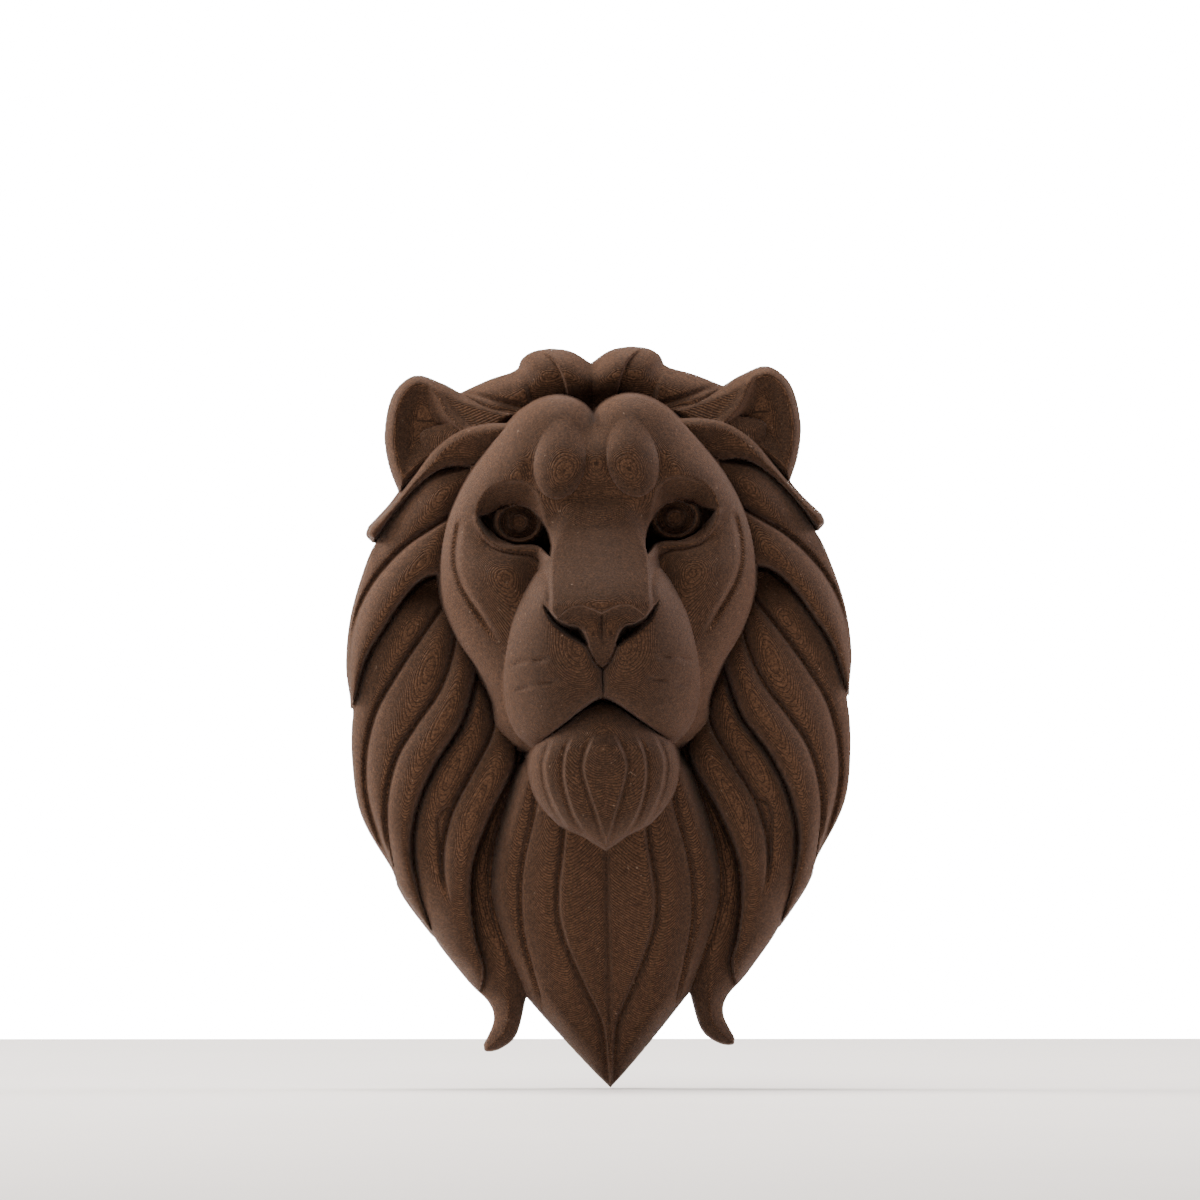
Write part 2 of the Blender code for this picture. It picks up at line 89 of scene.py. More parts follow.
# The plastic's colours, and for each pattern about how often it repeats in a metre
BROWNS = ((0.050, 0.0246, 0.0133, 1), (0.059, 0.0292, 0.0160, 1))
PATCHES = 22.0
FINE_TONES = ((0.78, 0.77, 0.76, 1), (1.22, 1.23, 1.25, 1))
FINE = 1900.0
GRAIN_TONES = ((0.54, 0.53, 0.52, 1), (1.46, 1.47, 1.48, 1))
GRAIN = 3000.0
SPECK = (0.13, 0.085, 0.06, 1)
SPECKS = 800.0
WAVES = 260.0             # slight waves in the layer lines
# painted shade in the crease at each layer's foot
FOOT_SHADE = (0.015, 0.0075, 0.0040, 1)
CROWN_SHADE = 0.74         # painted shade: what the highest forms keep of their brightness
MATTE = (0.60, 0.76)      # the least and the most roughness
GLOSS = 0.06
SHEEN = 0.06
SHEEN_SPREAD = 0.50
SHEEN_TINT = (1.0, 0.88, 0.84, 1)

# The studio: colours, brightness, and softboxes as place, width, watts and colour
TABLE_TONE = (0.74, 0.72, 0.70, 1)
TABLE_REACH = 2500.0
WHITE = (1, 1, 1, 1)
WALL_BACK = 2500.0        # from the mask's back to the backdrop
WALL_SIDE = 420.0
WALL_HEIGHTS = (-350.0, 600.0)
WALL_GLOW = 16.0
ROOM_GLOW = 0.04
SOFTBOXES = {
    "front": ((-300, -1400, 1800), 1400, 33, (1.0, 0.95, 0.88)),
    "left": ((-1800, -900, 1500), 1400, 32, (1.0, 0.94, 0.87)),
    "left_rim": ((-1900, 250, 1000), 1000, 104, (1.0, 0.94, 0.90)),
    "right_rim": ((1900, 250, 800), 1000, 54, (1.0, 0.90, 0.92)),
    "top_rim": ((-150, 200, 2000), 1000, 78, (1.0, 0.95, 0.90)),
}

# The picture
PICTURE = 1200            # pixels across
PIXEL = 0.272             # millimetres to a pixel at the mask
AIM = (0.75, 32.6)        # the picture's middle: across from the mask's axis, and over its centre
ROLL = 1.55               # degrees that the mask leans to the left in the picture
DISTANCE = 6000.0         # from the camera to the mask
TURN = 1.0                # degrees that the camera stands to the left of the mask's axis
SENSOR = 36.0             # width of the camera's sensor
FAR = 50.0                # metres that the camera sees
FLOOR = -100.2            # height of the table under the mask's centre
FLOOR_BACK = 690.0        # from the wall's plane back to the table's far edge

# Outlines: arcs between corners, as points (s, v). A half outline starts and ends on the middle line.
MANE_SIDE = (
    [(58.5, 53), (62.5, 44), (67, 30), (68.7, 16), (67.3, 4.5)],
    [(67.3, 4.5), (67.7, -9), (65.7, -24), (58, -39)],
    [(58, -39), (54.3, -47), (47, -57.5)],
    [(47, -57.5), (38, -70), (32.5, -76), (31.3, -81), (34.2, -87.5)],
    [(34.2, -87.5), (33.5, -89.3), (29.5, -88.6), (25, -84.7), (22.2, -74.7)],
    [(22.2, -74.7), (12, -66), (0, -66)],
)
MANE = ([(0, 80), (36, 75), (48, 67), (58.5, 53)],) + MANE_SIDE
WHOLE = ([(0, 108), (38, 104), (60, 82), (58.5, 53)],) + MANE_SIDE
BEARD = (
    [(0, -5), (20, -8), (27, -22), (31, -37), (31.6, -48), (28.5, -60), (22.2, -74.7)],
    [(22.2, -74.7), (14, -84.5), (5.2, -94.5), (0, -100)],
)
HAIR = (
    [(0, 97), (5, 100.2), (10, 101.2), (15.3, 100.7), (18.6, 98.8), (19.8, 96.2)],
    [(19.8, 96.2), (22, 95), (28, 93.2), (36, 89.8)],
    [(36, 89.8), (30, 78), (0, 72)],
)
EAR = (
    [(18, 84.3), (25, 86.3), (31, 88.2), (35.8, 89.9)],
    [(35.8, 89.9), (41, 92.8), (48, 94.9), (54, 90), (56.5, 80), (55.7, 71), (53, 63)],
    [(53, 63), (45, 70), (36, 75), (27, 78), (18, 84.3)],
)
EAR_FOLD = [(45.5, 96), (43.6, 92), (41.8, 88.5), (40, 84.6), (37.5, 81.6), (34, 78), (30, 72)]
EAR_FLAP = (
    [(34, 80.5), (38, 81.4), (43, 80.8), (46.3, 79.6), (46.8, 77.5), (45.6, 74), (42, 71), (36, 74),
     (34, 80.5)],
)
FLICK = (
    [(18, 81.5), (33, 80.7), (42, 76), (49.4, 67.4), (55.2, 60), (61.3, 54)],
    [(61.3, 54), (61.9, 52), (60.4, 50.3)],
    [(60.4, 50.3), (54, 58.6), (47, 65.6), (40, 69.6), (30, 70.4), (18, 81.5)],
)
FACE = (
    [(0, 80.7), (1.3, 83.3), (3.6, 85.6), (6.8, 87.1), (10, 87.5), (13.5, 86.9), (17, 85.3), (21, 82.4),
     (28, 75), (35.3, 65), (40, 55), (42.4, 44), (42, 33), (38, 22.5), (33, 14.5), (29.4, 6), (28.4, -1),
     (24, -6)],
    [(24, -6), (12, -12), (0, -14)],
)
MUZZLE_SIDE = [(12.6, 45), (18, 39), (22.5, 31), (25, 22), (26.3, 12), (25.6, 3), (23, -3), (18.7, -7)]
UPPER_LIP = [(18.7, -7), (16, -4.5), (10, 0.3), (5, 4.2), (2, 6.2), (0, 6.8)]
MUZZLE = ([(0, 40), (7, 44), (12.6, 45)], MUZZLE_SIDE, UPPER_LIP)
WHISKER_LINES = (
    [(13.5, 17.3), (17, 16.8), (20.4, 16.5)],
    [(18.5, 16.6), (22, 16.3), (26, 15)],
    [(11, 11.2), (15.5, 10.7), (19.4, 10.2)],
    [(17, 9.9), (21, 9.4), (25.4, 8.2)],
)
CHIN = (
    [(0, 5), (4, 3.7), (10, -0.6), (18, -6.2)],
    [(18, -6.2), (19.5, -10), (19.8, -14.5), (18, -20.7), (12.5, -27.5), (6, -30.8), (0, -34.8)],
)
NOSE_PAD = (
    [(0, 29.0), (2.4, 30.1), (5.2, 31.1), (8, 30.8), (10.2, 29.4), (12.2, 27.3)],
    [(12.2, 27.3), (9.2, 26.4), (6.4, 26), (4.9, 24.2), (3.8, 21), (2.6, 18), (1.2, 15.6), (0, 14.8)],
)
NOSTRIL = (
    [(15.6, 32), (14.1, 30.6), (12.8, 29.0), (11.4, 27.4), (9.0, 26.4), (6.4, 26), (4.9, 24.2), (3.6, 21)],
    [(3.6, 21), (4.6, 20.2), (7.2, 21.8), (10.3, 23.9), (13.4, 26.7), (14.9, 29.3), (15.6, 32)],
)
BROW_ARC = [
    (33.4, 56), (32.2, 60.5), (28.5, 64.5), (22, 66.2), (17.4, 64.6), (14.8, 60), (13.4, 53), (12.9, 46),
]
EYE_OPENING = (
    [(32, 56), (27, 57.6), (22, 58.8), (18.4, 58), (15.6, 55.2), (13.6, 51.5), (12.8, 47.6), (13.2, 44.8)],
    [(13.2, 44.8), (15.4, 47.2), (18, 48.1), (22.5, 48.1), (27, 50.2), (30, 53.2), (32, 56)],
)
SOCKET = (BROW_ARC, [(12.9, 46), (16, 45.4), (22, 46), (28, 48.4), (32, 53), (33.4, 56)])

# Edges between the mane's locks, from the face outwards, and of the beard and chin locks, from the top down
LOCK_EDGES = (
    [(24, 74), (36, 70), (45, 67.3), (53, 60), (60.6, 50)],
    [(36, 58), (44, 53.3), (52, 48), (60, 39.5), (65, 30), (67.6, 18), (68, 0)],
    [(38, 41), (46, 40.5), (52, 35.8), (59, 26), (64, 17.5), (68, 3)],
    [(40, 34), (48, 23.5), (56, 12), (61, 3), (63.7, -9), (63, -22), (57, -41)],
    [(38.5, 27), (39.6, 19), (43.5, 9), (50, 0), (56, -10), (58.8, -24), (57, -41)],
    [(33.5, 17), (35, 10), (38.5, 0), (46, -11), (51.5, -24), (52.5, -38), (46.5, -59)],
    [(28, 42), (34, 30), (33.3, 15), (29, 5), (29.5, -3), (34.5, -12.5), (41, -24.5), (43.7, -38), (41, -54)],
    [(24, -2), (24, -11), (31, -24.5), (36, -37), (37.2, -48), (36, -59), (34, -67), (35.5, -74), (40, -80)],
)
LOCKS = (                 # lift over the mane's body, height of the crown
    (-0.5, 3.0),
    (2.2, 3.4),
    (-2.0, 3.2),
    (0.2, 3.2),
    (1.8, 3.4),
    (-1.0, 3.0),
    (1.6, 3.0),
    (-8.5, 1.2),
)
LOCK_GROOVES = (          # depth on the lower lock's side of each edge: past the edge if positive
    1.6, -1.4, 3.0, -1.2, -1.2, 3.0, -1.2, 1.5,
)
BEARD_EDGES = (
    [(17, -14), (18.6, -24), (22, -38), (22.9, -48), (22.3, -58), (20, -68), (18.3, -76), (19, -85)],
    [(10, -22), (11.2, -34), (12.9, -48), (11.6, -58), (7, -70), (2.5, -80), (1.2, -86), (0.4, -98)],
)
BEARD_LOCKS = (
    (-1.5, 2.6),
    (0.0, 2.2),
    (2.2, 0.8),
)
CHIN_EDGES = (
    [(13.5, -4), (15.8, -10), (16, -14), (15, -19), (13, -24), (10.5, -28.5)],
    [(8, -3), (10.5, -9), (11, -14.5), (10.2, -19.5), (8.5, -25), (5.6, -30.3)],
    [(2.5, -3.5), (5, -9), (5.7, -13), (4.6, -18), (2.9, -23.5), (1.2, -29), (0.1, -33)],
)
CHEEK_FOLD = [(37, 56), (38.6, 46), (37.3, 38), (32.5, 29.5), (27, 21)]
LOWER_LID = [(32.6, 55.4), (31.4, 52), (29.2, 49.2), (25.5, 47.3), (20, 46.9), (16.6, 46.2), (14.3, 44)]
LID_CREASE = [(32.6, 53), (31, 50), (28, 47.2), (25, 46), (22, 45.5), (19, 45.2), (16.5, 43.8), (14.8, 41.6)]
STRAND = [(40, -22.2), (43, -22.8), (45, -25.5), (44.8, -32), (44.3, -40), (43.4, -47)]
HAIR_PARTING = [(6.6, 87), (7.6, 92), (9.6, 97), (14, 101)]
HAIR_FOLD = [(16.6, 86), (18, 91), (21, 97)]


def curve(points, steps=6):
    """A smooth curve through a few points, as a fine line."""
    p = np.array(points, float)
    p = np.vstack([2 * p[0] - p[1], p, 2 * p[-1] - p[-2]])
    t = np.linspace(0, 1, steps, endpoint=False)[:, None]
    spans = [
        b + 0.5 * ((c - a) * t + (2 * a - 5 * b + 4 * c - d) * t**2 + (3 * b - a - 3 * c + d) * t**3)
        for a, b, c, d in zip(p[:-3], p[1:-2], p[2:-1], p[3:])
    ]
    return np.vstack(spans + [p[-2:-1]])


def joined(arcs):
    """Smooth arcs joined at sharp corners."""
    return np.vstack([curve(arc) for arc in arcs])


def beside(line, s, v):
    """Distance from a line, positive on the right of its direction, and the share of it passed there."""
    nearest = np.full(s.shape, np.inf)
    side = np.zeros(s.shape)
    share = np.zeros(s.shape)
    runs = np.diff(line, axis=0)
    lengths = np.hypot(*runs.T)
    passed = np.concatenate([[0], np.cumsum(lengths)])
    for (x, y), (dx, dy), length, start in zip(line, runs, lengths, passed):
        px = s - x
        py = v - y
        t = np.clip((px * dx + py * dy) / (length**2 + 1e-12), 0, 1)
        squared = (px - t * dx) ** 2 + (py - t * dy) ** 2
        near = squared < nearest
        nearest[near] = squared[near]
        side[near] = (dy * px - dx * py)[near]
        share[near] = (start + t * length)[near] / passed[-1]
    return np.sqrt(nearest) * np.where(side >= 0, 1, -1), share


def within(arcs, s, v):
    """Distance in from an outline, negative outside it."""
    line = joined(arcs)
    odd = np.zeros(s.shape, bool)
    for (ax, ay), (bx, by) in zip(line, np.roll(line, -1, axis=0)):
        if ay != by:
            odd ^= ((ay > v) != (by > v)) & (s < (bx - ax) * (v - ay) / (by - ay) + ax)
    return np.abs(beside(line, s, v)[0]) * np.where(odd, 1, -1)


def step(start, end, x):
    """0 before start, 1 after end, smooth between them."""
    t = np.clip((x - start) / (end - start), 0, 1)
    return t * t * (3 - 2 * t)


def higher(a, b, blend):
    """The higher of two surfaces, with a soft join."""
    t = np.clip(0.5 + 0.5 * (a - b) / blend, 0, 1)
    return b + (a - b) * t + blend * t * (1 - t)


def rounded(d, radius):
    """0 at an edge, 1 from radius inwards, like a quarter circle."""
    return np.sqrt(1 - (1 - np.clip(d / radius, 0, 1)) ** 2)


def crown(a, b, half_width=9.0):
    """Round cross-section of a lock, from the distances to its two edges."""
    a = np.clip(a, 0, half_width) + 0.01
    b = np.clip(b, 0, half_width) + 0.01
    return np.sqrt(1 - ((a - b) / (a + b)) ** 2)


def hill(s, v, centre, radii):
    """A soft round hill, 1 at its centre."""
    return np.exp(-((s - centre[0]) / radii[0]) ** 2 - ((v - centre[1]) / radii[1]) ** 2)


def dome(s, v, centre, radii):
    """The upper half of an ellipsoid of height 1."""
    return np.sqrt(np.maximum(1 - ((s - centre[0]) / radii[0]) ** 2 - ((v - centre[1]) / radii[1]) ** 2, 0))


def profile(x, knots):
    """A smooth curve through a few heights (place, height)."""
    places, heights = np.array(knots, float).T
    slopes = np.gradient(heights, places)
    x = np.clip(x, places[0], places[-1])
    i = np.clip(np.searchsorted(places, x) - 1, 0, len(places) - 2)
    span = places[i + 1] - places[i]
    t = (x - places[i]) / span
    start = (2 * t**3 - 3 * t**2 + 1) * heights[i] + (t**3 - 2 * t**2 + t) * span * slopes[i]
    return start + (3 * t**2 - 2 * t**3) * heights[i + 1] + (t**3 - t**2) * span * slopes[i + 1]


def wall(height, d):
    """A form that drops steeply outside its outline."""
    return height + WALL_SLOPE * np.minimum(d, 0)


def groove(gap, width):
    """1 in the middle of a line, 0 beside it."""
    return np.exp(-((gap / width) ** 2))


def mix(a, b, share):
    return a + (b - a) * share


def strips(body, gaps, locks, side=0.3):
    """Locks side by side, each with its lift and crown. The gaps are the distances past each lock edge."""
    height = None
    for k, (lift, rise) in enumerate(locks):
        lock = body + lift + rise * crown(gaps[k], -gaps[k + 1])
        height = lock if height is None else mix(height, lock, step(-side, side, gaps[k]))
    return height


def mane(s, v, face_edge):
    """The mane's body and its eight locks on each side."""
    d = within(MANE, s, v) - FOOT
    taper = step(-100, -45, v)
    body = RIM + 1.0 + (3.0 + 12.0 * taper) * rounded(within(WHOLE, s, v), 26.0)
    body -= 3.5 * np.exp(-np.maximum(-face_edge, 0) / 4.0)
    gaps = [beside(curve(edge), s, v)[0] for edge in LOCK_EDGES] + [within(BEARD, s, v)]
    height = strips(body, gaps, LOCKS)
    for gap, depth in zip(gaps, LOCK_GROOVES):
        height -= abs(depth) * groove(gap - 0.7 * np.sign(depth), 0.6)
    # the first lock sinks under the flick
    height -= 4.0 * np.exp(-np.maximum(gaps[0], 0) / 3.0) + 4.0 * step(0.5, -1.0, gaps[0])
    # the third lock overhangs the fourth beside the face
    height -= 6.0 * step(-0.3, 0.3, gaps[2]) * hill(s, v, (45, 38), (8, 6))
    # the gap behind the sixth lock is deepest beside the cheek
    height -= 2.0 * groove(gaps[5] - 0.7, 1.0) * step(18, 12, v)
    # the seventh and eighth lock run together towards the foot
    together = body + 0.5 + 3.2 * crown(gaps[5], -gaps[7])
    between = step(-0.3, 0.3, gaps[5]) * step(0.3, -0.3, gaps[7])
    height = mix(height, together, between * step(-34, -50, v))
    # a strand parts from the seventh lock
    strand, share = beside(curve(STRAND), s, v)
    height -= 0.9 * groove(strand, 0.5) * step(0, 0.1, share) * step(1, 0.6, share)
    # the last lock lies deep between its neighbours, and comes up to a free curl at the foot
    rise = profile(v, [(-90, 7.5), (-74, 7.0), (-62, 4.5), (-48, 1.0), (-35, 0)])
    height += rise * step(-0.3, 0.3, gaps[7])
    height = mix(height, RIM + (height - RIM) * rounded(d + 0.4, 4.5), step(-58, -72, v))
    return wall(height, d)


def beard(s, v):
    """The beard: three locks on each side of a groove, sloping down to the tip."""
    d = within(BEARD, s, v) - FOOT
    ridge = profile(v, [(-102, 7), (-92, 11), (-78, 16.5), (-60, 22.5), (-36, 28.5), (0, 33)])
    gaps = [d] + [beside(curve(edge), s, v)[0] for edge in BEARD_EDGES] + [s * 0 - 2.5]
    height = strips(ridge - 6.0 * (s / 30) ** 2, gaps, BEARD_LOCKS, 0.4)
    for gap in gaps[1:3]:
        height -= 0.6 * groove(gap + 0.8, 0.5)
    height -= 0.22 * np.maximum(11 - s, 0) * step(-95, -75, v) + 0.7 * groove(s, 0.6)
    height = RIM + (height - RIM) * rounded(d + 0.5, 5.0)
    return wall(height, d)


def hair(s, v):
    """The tufts over the forehead."""
    d = within(HAIR, s, v) - FOOT
    height = HAIR_TOP - 0.12 * s - 4.0 * hill(s, v, (0, 86), (18, 5)) - 3.0 * hill(s, v, (0, 83), (6, 5))
    parting, _ = beside(curve(HAIR_PARTING), s, v)
    height -= 2.2 * step(-0.3, 0.3, parting) * np.exp(-np.maximum(parting, 0) / 7.0)
    fold, _ = beside(curve(HAIR_FOLD), s, v)
    height -= 1.6 * step(1.0, -1.0, fold) * np.exp(-np.maximum(-fold, 0) / 9.0)
    height -= 1.8 * np.exp(-s / 1.5)
    height -= 1.2 * groove(within(EAR, s, v) + 0.8, 0.8)
    height = RIM + (height - RIM) * rounded(d + 0.5, 8.0)
    return wall(height, d)


def ear(s, v):
    """The ear: a flat front that runs in from the hair, folded down into the bowl, with a thin outer rim."""
    d = within(EAR, s, v) - FOOT
    fold, _ = beside(curve(EAR_FOLD), s, v)
    front = EAR_TOP - 0.10 * (s - 18) - 0.24 * (v - 85) + 1.4 * groove(fold, 1.6)
    front = mix(front, EAR_BACK - 0.03 * (v - 85), step(0.5, -2.5, fold))
    height = RIM + (front - RIM) * rounded(d + 0.5, 3.0)
    height -= 3.4 * np.minimum(step(0.5, 8.0, d), step(0, 4.0, -fold))
    inner = within(EAR_FLAP, s, v)
    flap = 14.0 + 2.0 * rounded(inner + 0.3, 4.0) - 0.3 * (s - 42)
    return np.maximum(wall(height, d), wall(flap, inner))


def flick(s, v):
    """The lock that sweeps over the ear's foot and ends in a free tip, high along its upper edge."""
    d = within(FLICK, s, v) - FOOT
    upper, _ = beside(curve(FLICK[0]), s, v)
    height = FLICK_TOP - 0.17 * np.maximum(s - 26, 0) - 0.006 * np.maximum(s - 44, 0) ** 2
    height -= 0.30 * np.clip(upper - 2.0, 0, 9) - 1.5 * hill(s, v, (27, 79), (6, 4))
    height = height - 4.0 * (1 - rounded(d + 0.5, 3.0))
    return wall(height, d)


def head(s, v, face_edge):
    """The face without its features: a dome with a rounded rim, two lobes above and a fold in each cheek."""
    height = FACE_FOOT + FACE_RISE * dome(s, v, FACE_CENTRE, FACE_RADII)
    height += 1.8 * hill(s, v, (12, 80), (12, 10)) - 3.6 * np.exp(-s / 2.6) * step(73, 85, v)
    height += 2.0 * hill(s, v, (29, 41), (8, 9)) - 3.5 * hill(s, v, (16, 39), (5, 10))
    height -= 5.0 * hill(s, v, (22, 51), (11, 6.5))
    low = step(84, 72, v)
    height -= (6.0 + 4.0 * low) * (1 - rounded(face_edge, 8.0 + 2.0 * low))
    fold, share = beside(curve(CHEEK_FOLD), s, v)
    height -= 1.7 * groove(fold, 0.9) * step(0, 0.08, share) * step(1, 0.7, share)
    return height


def brows(s, v, height):
    """Two knobs on the forehead that rise out of its lobes, and a small swelling between them."""
    height = height - 1.8 * hill(s, v, (0, 60.5), (7, 3)) - 1.2 * hill(s, v, (17.8, 67), (2.2, 5.5))
    height += 1.5 * hill(s, v, (27, 68.5), (9, 5)) + 2.2 * hill(s, v, (0, 71), (5, 6))
    over = v - KNOB[1]
    across = s - KNOB[0] + 0.10 * over
    reach = np.where(over > 0, 12.5, 9.4)
    inside = np.maximum(1 - (across / 7.0) ** 2 - (over / reach) ** 2, 0)
    return height + KNOB_RISE * inside ** (0.5 + 1.0 * step(70, 81, v))


def nose(s, v, height):
    """The bridge, round-shouldered above and sharp-sided below, down to the nostrils and the leather."""
    back = profile(v, [
        (14, 54), (27, 61.2), (30, 62.4), (31.7, NOSE_TOP), (33.5, 61.9), (36, 60.2), (42, 55),
        (50, 48.2), (54, 45.2), (57, 43.2), (60, 41.2), (63, 37.5), (70, 26),
    ])
    flat = profile(v, [(14, 12), (31, 12.9), (34, 12.8), (40, 12.6), (45, 12), (50, 9.8), (56, 6.5), (62, 4)])
    steep = profile(v, [(14, 4), (38, 4), (44, 3.0), (50, 1.7), (56, 1.1), (62, 0.9)])
    soft = profile(v, [(14, 0.8), (38, 0.8), (44, 1.4), (52, 4), (62, 6)])
    side = np.hypot(np.maximum(s - flat, 0), soft) - soft
    bridge = back - steep * side - 0.018 * s**2
    leather = within(NOSE_PAD, s, v)
    front = profile(v, [(12, 57.4), (15, 58.4), (20, 59.2), (24, 59.2), (27, 59.2), (31.5, 61.6)])
    front -= 0.014 * s**2 + 1.4 * np.exp(-s / 0.7) + 0.8 * (1 - rounded(leather, 1.2)) * step(29, 26, v)
    bridge = mix(bridge, np.minimum(front, bridge), step(-0.25, 0.25, leather))
    above = v - profile(s, [(0, 14), (3, 19), (5, 24), (9, 26.2), (12, 28), (15.6, 32), (22, 38)])
    return higher(height, wall(bridge, above), 0.6 + 3.4 * step(44, 56, v))


def muzzle(s, v, height):
    """The whisker pads, each round in front and steep at the side, with shallow whisker lines."""
    outline = within(MUZZLE, s, v)
    side, _ = beside(curve(MUZZLE_SIDE), s, v)
    lip, _ = beside(curve(UPPER_LIP), s, v)
    pad = MUZZLE_TOP - 0.021 * (s - 5.5) ** 2 - 0.018 * (v - 20) ** 2 - 1.0 * hill(s, v, (1, 17), (2.6, 5))
    pad -= 8.5 * (1 - rounded(side, 12.0)) + 1.6 * (1 - rounded(lip, 3.0))
    pad += 5.0 * hill(s, v, (14.5, 36.5), (4.5, 8)) - 3.4 * np.exp(-s / 0.5) * step(26, 14, v)
    for line in WHISKER_LINES:
        stroke, share = beside(curve(line), s, v)
        pad -= 1.0 * groove(stroke, 0.7) * step(0, 0.5, share) * step(1, 0.5, share)
    return np.where(outline > -4, higher(height, wall(pad, outline), 0.8), height)


def eye(s, v, height):
    """A deep socket under the brow, two lids, and the ball with a hollow iris and a raised ring in it."""
    brow, _ = beside(curve(BROW_ARC), s, v)
    under_brow = np.clip(-1.35 * brow, 0, 9.0)
    height = height - under_brow * step(47.5, 54, v) * step(0, 1.5, within(SOCKET, s, v))
    lid, _ = beside(curve(LOWER_LID), s, v)
    crease, share = beside(curve(LID_CREASE), s, v)
    height = height + 1.1 * groove(lid, 1.0)
    height -= 0.9 * groove(crease, 0.5) * step(0, 0.3, share) * step(1, 0.9, share)
    opening = within(EYE_OPENING, s, v)
    away = np.hypot((s - EYEBALL[0]) / EYEBALL_RADII[0], (v - EYEBALL[1]) / EYEBALL_RADII[1])
    ball = EYEBALL_TOP - 2.2 * away**2 - 3.5 * step(0.97, 1.08, away) + 0.7 * groove(away - 0.88, 0.08)
    ball -= 3.6 * step(0.82, 0.72, away) - 1.2 * groove(away - 0.36, 0.08)
    return mix(height, ball, step(-0.25, 0.25, opening))


def chin(s, v):
    """The chin tuft: petals over each other around a drop, ending in a point."""
    d = within(CHIN, s, v)
    height = CHIN_FOOT + CHIN_RISE * dome(s, v, CHIN_CENTRE, CHIN_RADII) - 5.0 * (1 - rounded(d, 6.0))
    fade = step(-3, -8, v)
    for edge in CHIN_EDGES:
        petal, _ = beside(curve(edge), s, v)
        height = height + 1.1 * fade * step(-0.4, 0.4, petal) * np.exp(-np.maximum(petal, 0) / 12.0)
        height -= 0.5 * fade * groove(petal + 0.8, 0.5)
    height += 1.6 * hill(s, v, CHIN_CENTRE, (4.5, 7)) + 2.0 * hill(s, v, (0, -1), (16, 8))
    return wall(height, d)


def relief(s, v):
    """Height of the carved front over the back plane; below zero outside the mask."""
    face_edge = within(FACE, s, v)
    ground = mane(s, v, face_edge)
    for form in (beard(s, v), hair(s, v), ear(s, v), flick(s, v)):
        ground = np.maximum(ground, form)
    face = head(s, v, face_edge)
    face = brows(s, v, face)
    face = muzzle(s, v, face)
    face = nose(s, v, face)
    face = face - NOSTRIL_DEPTH * step(-0.3, 1.8, within(NOSTRIL, s, v))
    face -= 1.8 * groove(within(NOSE_PAD, s, v) + 0.5, 0.5) * step(27, 22, v)
    face = eye(s, v, face)
    face = np.maximum(wall(face, face_edge), chin(s, v))
    return np.maximum(ground, face)


def carved_front():
    """The front as a fine surface, half of it worked out and mirrored."""
    half = int(round(HALF_WIDTH / GRID))
    rows = int(round((TOP - BOTTOM) / GRID))
    s, v = np.meshgrid(np.linspace(0, HALF_WIDTH, half + 1), np.linspace(BOTTOM, TOP, rows + 1))
    height = np.maximum(relief(s, v), CUT)
    x = np.hstack([-s[:, :0:-1], s])
    z = np.hstack([v[:, :0:-1], v])
    y = -np.hstack([height[:, :0:-1], height])
    places = np.stack([x, y, z], axis=-1).reshape(-1, 3) * MM
    columns = 2 * half + 1
    corner = (np.arange(rows)[:, None] * columns + np.arange(columns - 1)).ravel()
    quads = np.stack([corner, corner + 1, corner + 1 + columns, corner + columns], axis=1)
    quads = quads[(places[quads][:, :, 1] < 0).any(axis=1)]
    used, quads = np.unique(quads, return_inverse=True)
    mesh = bpy.data.meshes.new("lion_head_relief")
    mesh.from_pydata(places[used], [], quads.reshape(-1, 4))
    return mesh


def cut_flat(mesh):
    """Cuts the surface off at the back plane and closes the back."""
    body = bmesh.new()
    body.from_mesh(mesh)
    everything = body.verts[:] + body.edges[:] + body.faces[:]
    bmesh.ops.bisect_plane(body, geom=everything, plane_co=(0, 0, 0), plane_no=(0, 1, 0), clear_outer=True)
    bmesh.ops.holes_fill(body, edges=[edge for edge in body.edges if edge.is_boundary])
    bmesh.ops.triangulate(body, faces=body.faces)
    bmesh.ops.recalc_face_normals(body, faces=body.faces)
    body.to_mesh(mesh)
    body.free()


def make_mask(material):
    """The mask, in place of the plain solid."""
    mesh = carved_front()
    cut_flat(mesh)
    mask = bpy.data.objects.new("lion_head_relief", mesh)
    bpy.context.scene.collection.objects.link(mask)
    decimate = mask.modifiers.new("fewer_faces", "DECIMATE")
    decimate.ratio = min(TRIANGLES / len(mesh.polygons), 1.0)
    bpy.context.view_layer.update()
    fewer = bpy.data.meshes.new_from_object(mask.evaluated_get(bpy.context.evaluated_depsgraph_get()))
    mask.modifiers.clear()
    mask.data = fewer
    fewer.materials.append(material)
    fewer.shade_smooth()
    fewer.set_sharp_from_angle(angle=np.radians(SHARP))
    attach(mask, "root")
    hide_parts(NODE)


